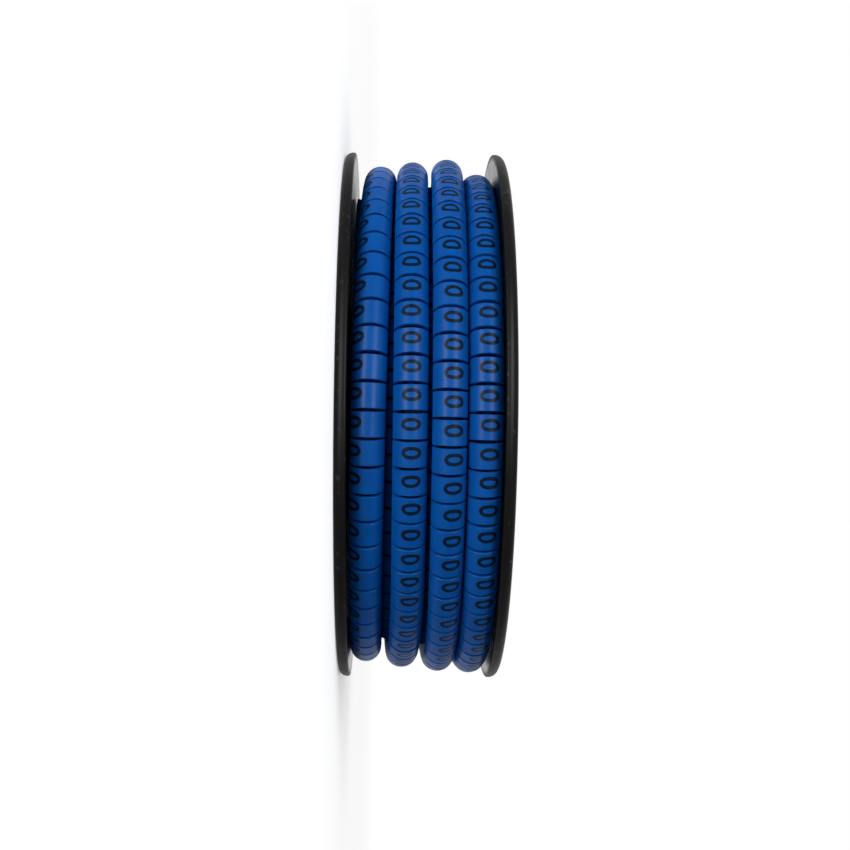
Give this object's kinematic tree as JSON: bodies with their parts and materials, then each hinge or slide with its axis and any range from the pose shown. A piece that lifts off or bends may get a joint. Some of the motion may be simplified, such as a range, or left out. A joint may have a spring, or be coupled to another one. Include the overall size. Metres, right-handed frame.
{
  "type": "cable marker reel",
  "caption": "Flanged plastic reel wound with a strip of printed tubular cable markers, which are torn off and slipped over a wire to number it.",
  "frame": {"origin": "centre of the lower flange's outer face, on which the reel stands", "axes": "+Z along the reel's axis, from the barrel half up to the spigot half; the outer turns step over at +Y, so the even side faces -Y"},
  "size_m": [0.095, 0.095, 0.028],
  "materials": {
    "reel_plastic": "moulded black, glossy with fine scuffs on the rim",
    "marker_vinyl": "satin soft vinyl, blue, with a plain black zero printed on each marker",
    "print_ink": "thin black printing ink, slightly worn"
  },
  "bodies": {
    "root": {"barrel_flange": "reel_plastic", "spigot_flange": "reel_plastic", "marker_strip": "marker_vinyl"}
  },
  "joints": []
}
